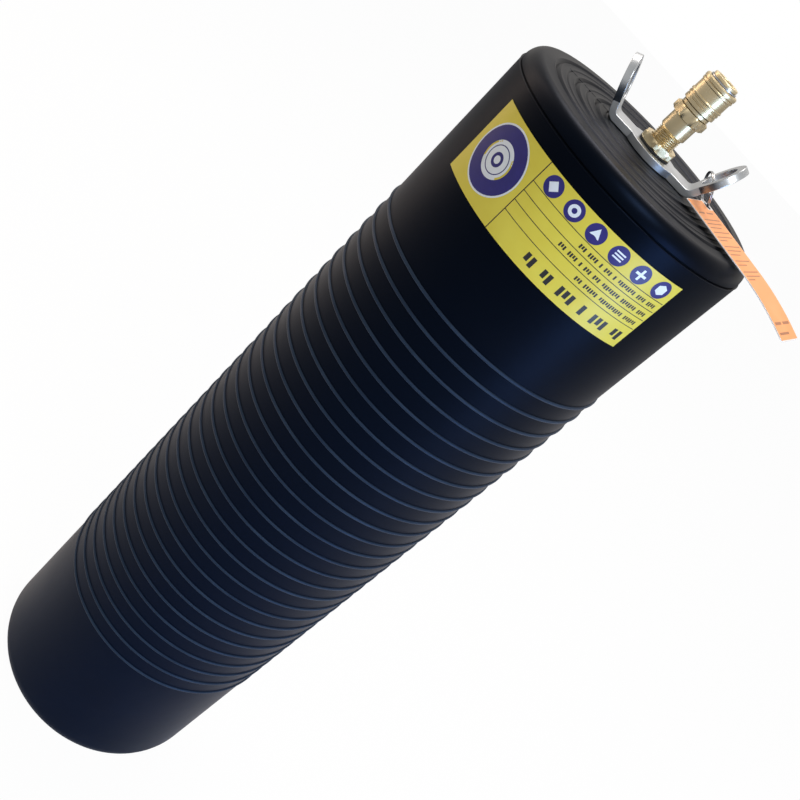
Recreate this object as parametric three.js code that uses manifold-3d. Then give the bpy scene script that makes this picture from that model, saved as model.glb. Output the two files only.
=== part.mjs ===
import * as THREE from 'three';
import { mergeVertices } from 'three/addons/utils/BufferGeometryUtils.js';
import Module from 'manifold-3d';

// Inflatable pipe plug, let down and standing on its flat far end. Millimetres, +Z up.
// The origin is the centre of the far end's face. The head, with its air coupling, is at the top.

// Clearances
const SEAT_GAP = 0.3; // between two faces that bear on each other
const BORE_GAP = 0.3; // round a part that passes through a hole

// Rubber bladder
const BODY_RADIUS = 95;
const BODY_LENGTH = 650;
const LONG = BODY_LENGTH; // length of a cutting tool that goes right through
const BODY_WALL = 12;
const HEAD_WALL = 18;
const FAR_WALL = 18;
const FAR_SHOULDER = 20;
const INNER_SHOULDER = 10;
const BEAD_WIDTH = 9;
const BEAD_HEIGHT = 11;
const WRAP_STEP = 0.6; // the outer wrap stands this much proud of the head's bead
const RIB_COUNT = 27;
const RIB_PITCH = 15;
const RIB_HEIGHT = 1.2;
const RIB_WIDTH = 2.6;
const TOP_RIB_BELOW_HEAD = 128;
const HEAD_GROOVE_RADII = [76, 60.3, 43.7];
const HEAD_GROOVE_WIDTH = 1.8;
const HEAD_GROOVE_DEPTH = 0.9;
const BODY_SEGMENTS = 28;
const ARC_STEPS = 5;

// Label stuck round the body
const LABEL_START = -140.7; // degrees round from +X
const LABEL_END = -44.8;
const LABEL_BELOW_HEAD = 22.5;
const LABEL_HEIGHT = 51.5;
const LABEL_THICKNESS = 0.4;
const LABEL_SEGMENTS = 10;

// Flange inside the head, and the threaded nipple that screws into it
const FLANGE_RADIUS = 28;
const FLANGE_THICKNESS = 7;
const THREAD_RADIUS = 8.3;
const AIRWAY_RADIUS = 4;
const FREE_THREAD = 7.8; // thread showing above the locknut
const COLLAR_RADIUS = 9.1;
const COLLAR_HEIGHT = 10.7;
const NIPPLE_HEX = 21; // across flats
const NIPPLE_HEX_HEIGHT = 5.9;
const NIPPLE_HEX_TURN = 3;
const SPIGOT_RADIUS = 7;
const SPIGOT_HEIGHT = 7.6;
const SPIGOT_END_GAP = 0.8; // between the spigot's end and the valve's seat
const SPRING_CHAMBER_RADIUS = 5.5;
const SPRING_CHAMBER_DEPTH = 9.9;
const TURNED_SEGMENTS = 24;
const COIL_STEPS = 16; // facets in each turn of a spring

// Eye bracket, washer and locknut
const BRACKET_TURN = 2.5; // degrees about the stem
const PLATE_THICKNESS = 4.5;
const STRIP_WIDTH = 22;
const DISC_RADIUS = 20.2;
const LUG_ANGLE = 68; // degrees up from the head
const BEND_RADIUS = 3.5; // inside the bend
const EYE_SPREAD = 38.2; // from the stem to an eye's centre
const EYE_RISE = 16.9; // above the plate
const EYE_RADIUS = 16.2;
const EYE_HOLE_RADIUS = 10.6;
const WASHER_RADIUS = 12;
const WASHER_THICKNESS = 0.8;
const NUT_HEX = 23;
const NUT_HEIGHT = 5;
const NUT_TURN = -93.5;
const HEX_CHAMFER = 1;

// Quick coupling
const COUPLING_RADIUS = 9;
const COUPLING_LENGTH = 24.1;
const COUPLING_FLANGE_RADIUS = 10.1;
const COUPLING_FLANGE_HEIGHT = 2.4;
const MOUTH_RADIUS = 6.1;
const MOUTH_CHAMFER = 0.5;
const SEAT_HOLE_RADIUS = 4.3;
const SEAT_THICKNESS = 2.5;
const SEAT_TO_SEAL = 2.3;
const SEAL_WIRE = 0.7;
const SEAL_RADIUS = 6.6;
const SEAL_GROOVE_RADIUS = 7.6;
const SEAL_GROOVE_HEIGHT = 2;
const BALL_COUNT = 4;
const BALL_RADIUS = 1.5;
const BALL_HOLE_GAP = 0.3;
const BALL_CIRCLE = 7.6;
const BALL_BELOW_NOSE = 6.4;
const SNAP_RING_THICKNESS = 0.8;
const SNAP_RING_DEPTH = 0.8; // how far the snap ring sits in the coupling's wall
const SNAP_RING_PROUD = 0.8;
const SLEEVE_TRAVEL = 2.7;
const SLEEVE_STOP_GAP = 0.4; // left above the nipple's hexagon when the sleeve is pulled back
const SLEEVE_LENGTH = 18.1;
const SLEEVE_RADIUS = 11.3;
const SLEEVE_SHOULDER = 10.3; // from the sleeve's lower end
const SLEEVE_SPRING_WIRE = 0.35;
const SLEEVE_SPRING_TURNS = 3.5;

// Valve in the coupling
const POPPET_RADIUS = 5;
const POPPET_HEAD_HEIGHT = 1.8;
const POPPET_WAIST_RADIUS = 2.6;
const POPPET_TIP_RADIUS = 3.9;
const POPPET_TIP_RISE = 1.5; // above the valve seat
const POPPET_SEAL_HEIGHT = 0.8;
const POPPET_SPRING_RADIUS = 4.6;
const POPPET_SPRING_WIRE = 0.35;
const POPPET_SPRING_TURNS = 3.5;

// Inspection tag and the split ring that ties it to an eye
const TAG_CORNER = [33.7, -21.3, 3.35]; // near corner at the ring's end, from the head's centre
const TAG_LENGTH = 100;
const TAG_WIDTH = 32;
const TAG_THICKNESS = 0.6;
const TAG_HEADING = -19.7; // degrees
const TAG_SLOPE = 2;
const TAG_ROLL = 3;
const TAG_FLAT = 54; // straight length, as far as the bladder's edge
const TAG_DROOP = 13; // degrees that the rest curls down by
const TAG_HOLE_FROM_SIDE = 4.5;
const TAG_HOLE = [4, TAG_WIDTH - TAG_HOLE_FROM_SIDE];
const TAG_HOLE_RADIUS = 3;
const TAG_CORNER_CUT = 3;
const RING_WIRE = 1;
const RING_IN_HOLE = [-1.2, -4.3]; // across and along the lug from the eye's centre
const RING_OUTSIDE = [17, -10.6];

const wasm = await Module();
wasm.setup();

const degrees = THREE.MathUtils.degToRad;

function finish(color, metalness, roughness) {
  return new THREE.MeshStandardMaterial({ color, metalness, roughness });
}

function part(name, geometry, material) {
  const mesh = new THREE.Mesh(geometry, material);
  mesh.name = name;
  return mesh;
}

// A solid of revolution about +Z from [radius, height] points, outer side upwards.
function turned(profile, segments = TURNED_SEGMENTS) {
  const points = profile.map(([radius, height]) => new THREE.Vector2(radius, height));
  return new THREE.LatheGeometry(points, segments).rotateX(Math.PI / 2);
}

// A turned ring, whose profile closes on itself.
function turnedRing(profile, segments = TURNED_SEGMENTS) {
  return turned([...profile, profile[0]], segments);
}

function flatRing(inner, outer, low, high, segments = TURNED_SEGMENTS) {
  return turnedRing([[inner, low], [outer, low], [outer, high], [inner, high]], segments);
}

function rod(radius, low, high, segments = TURNED_SEGMENTS) {
  return turned([[0, low], [radius, low], [radius, high], [0, high]], segments);
}

// A closed geometry as a solid that can be joined and cut.
function solid(geometry) {
  const bare = geometry.clone();
  bare.deleteAttribute('normal');
  bare.deleteAttribute('uv');
  const merged = mergeVertices(bare);
  const index = merged.index.array;
  const triangles = [];
  for (let i = 0; i < index.length; i += 3) {
    const [a, b, c] = [index[i], index[i + 1], index[i + 2]];
    if (a !== b && b !== c && c !== a) triangles.push(a, b, c);
  }
  return new wasm.Manifold(new wasm.Mesh({
    numProp: 3,
    vertProperties: merged.attributes.position.array,
    triVerts: new Uint32Array(triangles),
  }));
}

function geometryOf(manifold) {
  const mesh = manifold.getMesh();
  const geometry = new THREE.BufferGeometry();
  geometry.setAttribute('position', new THREE.BufferAttribute(mesh.vertProperties, 3));
  geometry.setIndex(new THREE.BufferAttribute(mesh.triVerts, 1));
  geometry.computeVertexNormals();
  return geometry;
}

// A hexagon with its upper corners chamfered, standing at the given height.
function hexagon(acrossFlats, height, turn, base) {
  const corner = acrossFlats / Math.sqrt(3);
  const shape = new THREE.Shape();
  for (let i = 0; i < 6; i += 1) {
    const angle = degrees(turn + 60 * i);
    const [x, y] = [corner * Math.cos(angle), corner * Math.sin(angle)];
    if (i === 0) shape.moveTo(x, y);
    else shape.lineTo(x, y);
  }
  shape.closePath();
  const prism = new THREE.ExtrudeGeometry(shape, { depth: height, bevelEnabled: false });
  const chamfer = turned([
    [0, 0], [corner + 1, 0], [corner + 1, height - HEX_CHAMFER],
    [acrossFlats / 2, height], [0, height],
  ]);
  return solid(prism).intersect(solid(chamfer)).translate(0, 0, base);
}

// A coil spring of round wire between two heights.
class Coil extends THREE.Curve {
  constructor(radius, turns, low, high) {
    super();
    this.radius = radius;
    this.turns = turns;
    this.low = low;
    this.high = high;
  }

  getPoint(t, target = new THREE.Vector3()) {
    const angle = 2 * Math.PI * this.turns * t;
    const height = THREE.MathUtils.lerp(this.low, this.high, t);
    return target.set(this.radius * Math.cos(angle), this.radius * Math.sin(angle), height);
  }
}

function spring(radius, wire, turns, low, high) {
  const section = new THREE.Shape();
  section.absarc(0, 0, wire, 0, 2 * Math.PI);
  return new THREE.ExtrudeGeometry(section, {
    steps: Math.round(turns * COIL_STEPS),
    curveSegments: 3,
    extrudePath: new Coil(radius, turns, low + wire, high - wire),
  });
}

// Heights above the head's face
const headHeight = BODY_LENGTH;
const flangeTop = -HEAD_WALL - SEAT_GAP;
const flangeBase = flangeTop - FLANGE_THICKNESS;
const plateBase = SEAT_GAP;
const plateTop = plateBase + PLATE_THICKNESS;
const washerBase = plateTop + SEAT_GAP;
const washerTop = washerBase + WASHER_THICKNESS;
const nutBase = washerTop + SEAT_GAP;
const nutTop = nutBase + NUT_HEIGHT;
const collarBase = nutTop + FREE_THREAD;
const hexBase = collarBase + COLLAR_HEIGHT;
const hexTop = hexBase + NIPPLE_HEX_HEIGHT;
const spigotTop = hexTop + SPIGOT_HEIGHT;
const chamberBase = spigotTop - SPRING_CHAMBER_DEPTH;
const couplingBase = hexTop + SEAT_GAP;
const couplingFlangeTop = couplingBase + COUPLING_FLANGE_HEIGHT;
const noseTop = couplingBase + COUPLING_LENGTH;
const sleeveBase = hexTop + SLEEVE_TRAVEL + SLEEVE_STOP_GAP;
const sleeveTop = sleeveBase + SLEEVE_LENGTH;
const sleeveShoulder = sleeveBase + SLEEVE_SHOULDER;
const snapRingBase = sleeveTop + SEAT_GAP;
const snapRingTop = snapRingBase + SNAP_RING_THICKNESS;
const seatBase = spigotTop + SPIGOT_END_GAP;
const seatTop = seatBase + SEAT_THICKNESS;
const sealGrooveBase = seatTop + SEAT_TO_SEAL;
const sealGrooveTop = sealGrooveBase + SEAL_GROOVE_HEIGHT;
const ballHeight = noseTop - BALL_BELOW_NOSE;

const threadHole = THREAD_RADIUS + BORE_GAP;
const couplingBore = SPIGOT_RADIUS + BORE_GAP;
const sleeveBore = COUPLING_RADIUS + BORE_GAP;
const sleeveCounterbore = COUPLING_FLANGE_RADIUS + BORE_GAP;

// Points on a quarter ellipse from one angle to another, ends included.
function arcPoints(centreRadius, centreHeight, width, height, from, to, steps = ARC_STEPS) {
  const points = [];
  for (let i = 0; i <= steps; i += 1) {
    const angle = degrees(from + (to - from) * i / steps);
    points.push([centreRadius + width * Math.cos(angle), centreHeight + height * Math.sin(angle)]);
  }
  return points;
}

// The bladder is one moulded rubber shell with a hole for the nipple in its head.
function bladder() {
  const ribs = [];
  for (let i = RIB_COUNT - 1; i >= 0; i -= 1) {
    const height = BODY_LENGTH - TOP_RIB_BELOW_HEAD - i * RIB_PITCH;
    ribs.push(
      [BODY_RADIUS, height - RIB_WIDTH / 2],
      [BODY_RADIUS + RIB_HEIGHT, height],
      [BODY_RADIUS, height + RIB_WIDTH / 2],
    );
  }
  const grooves = HEAD_GROOVE_RADII.flatMap((radius) => [
    [radius + HEAD_GROOVE_WIDTH / 2, BODY_LENGTH],
    [radius, BODY_LENGTH - HEAD_GROOVE_DEPTH],
    [radius - HEAD_GROOVE_WIDTH / 2, BODY_LENGTH],
  ]);
  const inside = BODY_RADIUS - BODY_WALL;
  const ceiling = BODY_LENGTH - HEAD_WALL;
  const curve = INNER_SHOULDER;
  const beadBase = BODY_LENGTH - BEAD_HEIGHT;
  const beadCentre = BODY_RADIUS - BEAD_WIDTH;
  return turned([
    [0, 0],
    ...arcPoints(BODY_RADIUS - FAR_SHOULDER, FAR_SHOULDER, FAR_SHOULDER, FAR_SHOULDER, -90, 0),
    ...ribs,
    [BODY_RADIUS, beadBase],
    ...arcPoints(beadCentre, beadBase, BEAD_WIDTH - WRAP_STEP, BEAD_HEIGHT, 0, 90),
    ...grooves,
    [threadHole, BODY_LENGTH],
    [threadHole, ceiling],
    ...arcPoints(inside - curve, ceiling - curve, curve, curve, 90, 0, 2),
    ...arcPoints(inside - curve, FAR_WALL + curve, curve, curve, 0, -90, 2),
    [0, FAR_WALL],
  ], BODY_SEGMENTS);
}

// The label is a film strip bent round the body.
function label() {
  const inner = BODY_RADIUS + SEAT_GAP;
  const outer = inner + LABEL_THICKNESS;
  const shape = new THREE.Shape();
  shape.absarc(0, 0, outer, degrees(LABEL_START), degrees(LABEL_END), false);
  shape.absarc(0, 0, inner, degrees(LABEL_END), degrees(LABEL_START), true);
  const strip = new THREE.ExtrudeGeometry(shape, {
    depth: LABEL_HEIGHT, bevelEnabled: false, curveSegments: LABEL_SEGMENTS,
  });
  return strip.translate(0, 0, BODY_LENGTH - LABEL_BELOW_HEAD - LABEL_HEIGHT);
}

// The brass nipple carries the airway from the coupling into the bladder.
function nipple() {
  const outside = solid(turned([
    [0, flangeBase], [THREAD_RADIUS, flangeBase], [THREAD_RADIUS, collarBase],
    [COLLAR_RADIUS, collarBase], [COLLAR_RADIUS, hexBase + 1], [SPIGOT_RADIUS, hexBase + 1],
    [SPIGOT_RADIUS, spigotTop], [0, spigotTop],
  ]));
  const hex = hexagon(NIPPLE_HEX, NIPPLE_HEX_HEIGHT, NIPPLE_HEX_TURN, hexBase);
  const airway = solid(rod(AIRWAY_RADIUS, -LONG, LONG));
  const chamber = solid(rod(SPRING_CHAMBER_RADIUS, chamberBase, LONG));
  return geometryOf(outside.add(hex).subtract(airway).subtract(chamber));
}

function locknut() {
  const hole = solid(rod(threadHole, -LONG, LONG));
  return geometryOf(hexagon(NUT_HEX, NUT_HEIGHT, NUT_TURN, nutBase).subtract(hole));
}

// Where a lug's parts lie, seen from the side: x outwards from the stem, z up from the head.
const lugTilt = degrees(LUG_ANGLE);
const lugReach = (EYE_RISE - BEND_RADIUS * (1 - Math.cos(lugTilt))) / Math.sin(lugTilt);
const bendStart = EYE_SPREAD - BEND_RADIUS * Math.sin(lugTilt) - lugReach * Math.cos(lugTilt);
const eyeHeight = plateTop + EYE_RISE;
const lugAlong = new THREE.Vector3(Math.cos(lugTilt), 0, Math.sin(lugTilt));
const lugOutward = new THREE.Vector3(Math.sin(lugTilt), 0, -Math.cos(lugTilt));

// One face of a lug, from the flat plate round the bend and up to the eye's centre.
function lugFace(radius) {
  const points = arcPoints(bendStart, plateTop + BEND_RADIUS, radius, radius, -90, LUG_ANGLE - 90, 6);
  const [x, z] = points[points.length - 1];
  points.push([x + lugReach * lugAlong.x, z + lugReach * lugAlong.z]);
  return points;
}

// The bracket is cut from plate, with a disc in the middle and a bent-up eye at each end.
function eyeBracket() {
  const underside = lugFace(BEND_RADIUS + PLATE_THICKNESS);
  const right = [...underside, ...lugFace(BEND_RADIUS).reverse()];
  const left = right.map(([x, z]) => [-x, z]).reverse();
  const profile = new THREE.Shape([...right, ...left].map(([x, z]) => new THREE.Vector2(x, z)));
  const strip = new THREE.ExtrudeGeometry(profile, { depth: STRIP_WIDTH, bevelEnabled: false });
  strip.rotateX(Math.PI / 2).translate(0, STRIP_WIDTH / 2, 0);
  let bracket = solid(strip).add(solid(rod(DISC_RADIUS, plateBase, plateTop)));
  const holes = [];
  for (const turn of [0, Math.PI]) {
    for (const [radius, low, high, list] of [
      [EYE_RADIUS, 0, PLATE_THICKNESS, null], [EYE_HOLE_RADIUS, -20, 20, holes],
    ]) {
      const disc = rod(radius, low, high, 28).rotateY(Math.PI - lugTilt);
      disc.translate(EYE_SPREAD, 0, eyeHeight).rotateZ(turn);
      if (list) list.push(solid(disc));
      else bracket = bracket.add(solid(disc));
    }
  }
  for (const hole of holes) bracket = bracket.subtract(hole);
  return geometryOf(bracket.subtract(solid(rod(threadHole, -LONG, LONG))));
}

// The coupling's body holds the balls, the seal and the valve's seat.
function couplingBody() {
  const ringGroove = COUPLING_RADIUS - SNAP_RING_DEPTH;
  const shell = solid(turnedRing([
    [couplingBore, couplingBase],
    [COUPLING_FLANGE_RADIUS, couplingBase], [COUPLING_FLANGE_RADIUS, couplingFlangeTop],
    [COUPLING_RADIUS, couplingFlangeTop], [COUPLING_RADIUS, snapRingBase - BORE_GAP],
    [ringGroove, snapRingBase - BORE_GAP], [ringGroove, snapRingTop + BORE_GAP],
    [COUPLING_RADIUS, snapRingTop + BORE_GAP], [COUPLING_RADIUS, noseTop - MOUTH_CHAMFER],
    [COUPLING_RADIUS - MOUTH_CHAMFER, noseTop],
    [MOUTH_RADIUS + MOUTH_CHAMFER, noseTop], [MOUTH_RADIUS, noseTop - MOUTH_CHAMFER],
    [MOUTH_RADIUS, sealGrooveTop], [SEAL_GROOVE_RADIUS, sealGrooveTop],
    [SEAL_GROOVE_RADIUS, sealGrooveBase], [MOUTH_RADIUS, sealGrooveBase],
    [MOUTH_RADIUS, seatTop], [SEAT_HOLE_RADIUS, seatTop],
    [SEAT_HOLE_RADIUS, seatBase], [couplingBore, seatBase],
  ]));
  let body = shell;
  for (let i = 0; i < BALL_COUNT; i += 1) {
    const drill = rod(BALL_RADIUS + BALL_HOLE_GAP, MOUTH_RADIUS - 1, COUPLING_RADIUS + 1, 12);
    drill.rotateY(Math.PI / 2).rotateZ(ballAngle(i)).translate(0, 0, ballHeight);
    body = body.subtract(solid(drill));
  }
  return geometryOf(body);
}

function ballAngle(index) {
  return 2 * Math.PI * (index + 0.5) / BALL_COUNT;
}

// The sleeve's grips are turned ridges, as heights above its lower end and radii past its wall.
function couplingSleeve() {
  const outline = [
    [0.1, 0], [0.1, 2.5], [-0.2, 2.6], [-0.2, 3.2], [0.3, 3.3], [0.3, 4.7], [-0.1, 4.8],
    [-0.1, 5.3], [0.5, 5.4], [0.5, 6.7], [0, 6.9], [0, 13.3], [0.5, 13.7], [0.5, 14.9],
    [-0.1, 15.1], [-0.1, 15.3], [0.7, 15.5], [0.7, 17.5], [0.1, SLEEVE_LENGTH],
  ].map(([proud, height]) => [SLEEVE_RADIUS + proud, sleeveBase + height]);
  return turnedRing([
    [sleeveCounterbore, sleeveBase], ...outline,
    [sleeveBore, sleeveTop], [sleeveBore, sleeveShoulder], [sleeveCounterbore, sleeveShoulder],
  ]);
}

function poppet() {
  const headBase = seatBase - SEAT_GAP - POPPET_SEAL_HEIGHT - SEAT_GAP - POPPET_HEAD_HEIGHT;
  const headTop = headBase + POPPET_HEAD_HEIGHT;
  const tip = seatTop + POPPET_TIP_RISE;
  return turned([
    [0, headBase], [POPPET_RADIUS, headBase], [POPPET_RADIUS, headTop],
    [POPPET_WAIST_RADIUS, headTop], [POPPET_WAIST_RADIUS, seatBase],
    [POPPET_TIP_RADIUS, seatBase], [POPPET_TIP_RADIUS, tip], [0, tip],
  ]);
}

function poppetSeal() {
  const top = seatBase - SEAT_GAP;
  return flatRing(POPPET_WAIST_RADIUS + BORE_GAP, POPPET_RADIUS, top - POPPET_SEAL_HEIGHT, top);
}

function poppetSpring() {
  const headBase = seatBase - 2 * SEAT_GAP - POPPET_SEAL_HEIGHT - POPPET_HEAD_HEIGHT;
  const [low, high] = [chamberBase + SEAT_GAP, headBase - SEAT_GAP];
  return spring(POPPET_SPRING_RADIUS, POPPET_SPRING_WIRE, POPPET_SPRING_TURNS, low, high);
}

function sleeveSpring() {
  const radius = (COUPLING_RADIUS + sleeveCounterbore) / 2;
  const [low, high] = [couplingFlangeTop + SEAT_GAP, sleeveShoulder - SEAT_GAP];
  return spring(radius, SLEEVE_SPRING_WIRE, SLEEVE_SPRING_TURNS, low, high);
}

// The tag is a plastic card that lies straight over the head and curls down past its edge.
function tag() {
  const steps = 8;
  const step = (TAG_LENGTH - TAG_FLAT) / steps;
  const line = [[0, 0], [TAG_FLAT, 0]];
  for (let i = 0; i < steps; i += 1) {
    const angle = degrees(-TAG_DROOP * (i + 0.5) / steps);
    const [x, z] = line[line.length - 1];
    line.push([x + step * Math.cos(angle), z + step * Math.sin(angle)]);
  }
  const back = line.map(([x, z]) => [x, z + TAG_THICKNESS]).reverse();
  const side = new THREE.Shape([...line, ...back].map(([x, z]) => new THREE.Vector2(x, z)));
  const slab = new THREE.ExtrudeGeometry(side, { depth: TAG_WIDTH + 2, bevelEnabled: false });
  slab.rotateX(Math.PI / 2).translate(0, TAG_WIDTH + 1, 0);
  const cut = TAG_CORNER_CUT;
  const outline = new THREE.Shape([
    [0, 0], [TAG_LENGTH + 1, 0], [TAG_LENGTH + 1, TAG_WIDTH], [cut, TAG_WIDTH], [0, TAG_WIDTH - cut],
  ].map(([x, y]) => new THREE.Vector2(x, y)));
  const hole = new THREE.Path();
  hole.absarc(TAG_HOLE[0], TAG_HOLE[1], TAG_HOLE_RADIUS, 0, 2 * Math.PI, true);
  outline.holes.push(hole);
  const cutter = new THREE.ExtrudeGeometry(outline, { depth: 60, bevelEnabled: false, curveSegments: 12 });
  return geometryOf(solid(slab).intersect(solid(cutter.translate(0, 0, -30))));
}

// The centre and normal of the circle through three points.
function circleThrough(first, second, third) {
  const a = first.clone().sub(third);
  const b = second.clone().sub(third);
  const normal = a.clone().cross(b);
  const offset = b.clone().multiplyScalar(a.lengthSq()).sub(a.clone().multiplyScalar(b.lengthSq()));
  const centre = offset.cross(normal).divideScalar(2 * normal.lengthSq()).add(third);
  return { centre, normal: normal.normalize(), radius: centre.distanceTo(first) };
}

// A point in the middle of the right lug's plate, from across and along sizes at its eye.
function pointOnLug([across, along]) {
  return new THREE.Vector3(EYE_SPREAD, across, eyeHeight)
    .addScaledVector(lugAlong, along)
    .addScaledVector(lugOutward, PLATE_THICKNESS / 2)
    .applyAxisAngle(new THREE.Vector3(0, 0, 1), degrees(BRACKET_TURN));
}

const rubber = finish(0x14161c, 0, 0.45);
const film = finish(0xdccb40, 0, 0.4);
const brass = finish(0xb39b62, 1, 0.32);
const zincPlate = finish(0x9aa0a6, 1, 0.38);
const steel = finish(0xb4b8bc, 1, 0.3);
const seal = finish(0x1c1c1e, 0, 0.6);
const card = finish(0xffb06a, 0, 0.5);

const plug = new THREE.Group();
plug.add(part('bladder', bladder(), rubber.clone()));
plug.add(part('label', label(), film));

const head = new THREE.Group();
head.position.z = headHeight;
plug.add(head);

head.add(part('inner_flange', flatRing(threadHole, FLANGE_RADIUS, flangeBase, flangeTop), steel.clone()));
head.add(part('nipple', nipple(), brass.clone()));

const bracket = part('eye_bracket', eyeBracket(), zincPlate);
bracket.rotation.z = degrees(BRACKET_TURN);
head.add(bracket);
head.add(part('washer', flatRing(threadHole, WASHER_RADIUS, washerBase, washerTop), seal.clone()));
head.add(part('locknut', locknut(), brass.clone()));

const coupling = new THREE.Group();
head.add(coupling);
coupling.add(part('coupling_body', couplingBody(), brass.clone()));
coupling.add(part('coupling_sleeve', couplingSleeve(), brass.clone()));
coupling.add(part('sleeve_spring', sleeveSpring(), steel.clone()));
const snapRingInner = COUPLING_RADIUS - SNAP_RING_DEPTH + SEAT_GAP;
const snapRingOuter = COUPLING_RADIUS + SNAP_RING_PROUD;
const snapRing = flatRing(snapRingInner, snapRingOuter, snapRingBase, snapRingTop);
coupling.add(part('snap_ring', snapRing, steel.clone()));
const noseSeal = part('nose_seal', new THREE.TorusGeometry(SEAL_RADIUS, SEAL_WIRE, 6, 20), seal.clone());
noseSeal.position.z = (sealGrooveBase + sealGrooveTop) / 2;
coupling.add(noseSeal);
for (let i = 0; i < BALL_COUNT; i += 1) {
  const ball = part(`ball_${i + 1}`, new THREE.IcosahedronGeometry(BALL_RADIUS, 1), steel.clone());
  ball.position.set(BALL_CIRCLE * Math.cos(ballAngle(i)), BALL_CIRCLE * Math.sin(ballAngle(i)), ballHeight);
  coupling.add(ball);
}
coupling.add(part('poppet', poppet(), brass.clone()));
coupling.add(part('poppet_seal', poppetSeal(), seal));
coupling.add(part('poppet_spring', poppetSpring(), steel.clone()));

const tagPlace = new THREE.Group();
tagPlace.position.set(...TAG_CORNER);
tagPlace.rotation.set(degrees(TAG_ROLL), degrees(TAG_SLOPE), degrees(TAG_HEADING), 'ZYX');
tagPlace.add(part('tag', tag(), card));
head.add(tagPlace);

tagPlace.updateMatrix();
const tagHole = new THREE.Vector3(TAG_HOLE[0], TAG_HOLE[1], TAG_THICKNESS / 2).applyMatrix4(tagPlace.matrix);
const loop = circleThrough(pointOnLug(RING_IN_HOLE), pointOnLug(RING_OUTSIDE), tagHole);
const splitRing = part('split_ring', new THREE.TorusGeometry(loop.radius, RING_WIRE, 8, 22), steel);
splitRing.position.copy(loop.centre);
splitRing.quaternion.setFromUnitVectors(new THREE.Vector3(0, 0, 1), loop.normal);
head.add(splitRing);

export default plug;
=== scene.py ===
import math

import bmesh
import bpy
from mathutils import Matrix, Vector


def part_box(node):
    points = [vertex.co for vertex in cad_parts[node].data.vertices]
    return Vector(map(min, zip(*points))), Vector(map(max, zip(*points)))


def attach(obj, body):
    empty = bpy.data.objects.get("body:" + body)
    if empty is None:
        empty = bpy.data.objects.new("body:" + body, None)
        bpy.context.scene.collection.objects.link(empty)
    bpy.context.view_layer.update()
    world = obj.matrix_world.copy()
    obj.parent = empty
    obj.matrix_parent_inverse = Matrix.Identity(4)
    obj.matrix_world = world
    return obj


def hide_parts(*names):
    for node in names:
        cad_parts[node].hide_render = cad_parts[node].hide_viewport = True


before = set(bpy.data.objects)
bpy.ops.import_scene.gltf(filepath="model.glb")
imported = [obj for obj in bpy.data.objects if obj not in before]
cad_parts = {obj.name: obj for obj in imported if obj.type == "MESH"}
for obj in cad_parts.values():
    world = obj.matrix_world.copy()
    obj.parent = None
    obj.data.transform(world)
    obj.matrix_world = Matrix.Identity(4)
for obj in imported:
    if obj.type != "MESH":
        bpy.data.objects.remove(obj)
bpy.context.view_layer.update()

# The view. The plug stands on its flat far end, and the camera looks down on it, rolled over
# so that the body lies across the picture with its head at the upper right.
MM = 0.001
camera_data = bpy.data.cameras.new("camera")
camera_data.sensor_width = 36
camera_data.lens = 45.826
camera = bpy.data.objects.new("camera", camera_data)
bpy.context.collection.objects.link(camera)
view_right = Vector((0.67803, 0.34848, 0.64718))
view_up = Vector((-0.73494, 0.33572, 0.58920))
view_back = Vector((-0.01194, -0.87513, 0.48374))
camera.matrix_world = Matrix.Translation((0, -636.1 * MM, 763 * MM)) @ Matrix(
    (view_right, view_up, view_back)
).transposed().to_4x4()
bpy.context.scene.camera = camera
bpy.context.scene.view_settings.view_transform = "Standard"


def add(tree, kind, settings=None, links=None):
    """Adds a node, sets its properties or sockets by name, and links its inputs."""
    node = tree.nodes.new(kind)
    for name, value in (settings or {}).items():
        if isinstance(name, str) and hasattr(node, name):
            setattr(node, name, value)
        else:
            node.inputs[name].default_value = value
    for name, source in (links or {}).items():
        tree.links.new(source, node.inputs[name])
    return node


def srgb(code):
    """A linear colour from an sRGB hex code."""
    values = [int(code[i:i + 2], 16) / 255 for i in (1, 3, 5)]
    return tuple(v / 12.92 if v <= 0.04045 else ((v + 0.055) / 1.055) ** 2.4 for v in values) + (1,)


# The floor and the light. The floor is a plain pale sheet that keeps the plug's soft shadow. Soft
# boxes stand in front, above and at both sides, and the cool one at the right gives the rubber its
# navy sheen, together with the painted navy sheen in the rubber's colour towards its foot.
floor_material = bpy.data.materials.new("pale_floor")
floor_material.use_nodes = True
tree = floor_material.node_tree
tree.nodes.clear()
plain = add(tree, "ShaderNodeBsdfDiffuse", {"Color": srgb("#f7f7f7")})
white = add(tree, "ShaderNodeEmission", {"Color": (1, 1, 1, 1), "Strength": 1})
path = add(tree, "ShaderNodeLightPath")
share = add(tree, "ShaderNodeMath", {"operation": "MULTIPLY", 1: 0.97}, {0: path.outputs["Is Camera Ray"]})
mixed = add(tree, "ShaderNodeMixShader", None, {
    0: share.outputs[0], 1: plain.outputs[0], 2: white.outputs[0]})
add(tree, "ShaderNodeOutputMaterial", None, {"Surface": mixed.outputs[0]})
floor_mesh = bpy.data.meshes.new("floor")
floor_mesh.from_pydata([(-6, -6, 0), (6, -6, 0), (6, 6, 0), (-6, 6, 0)], [], [(0, 1, 2, 3)])
floor_mesh.materials.append(floor_material)
floor = bpy.data.objects.new("floor", floor_mesh)
bpy.context.collection.objects.link(floor)

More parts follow.
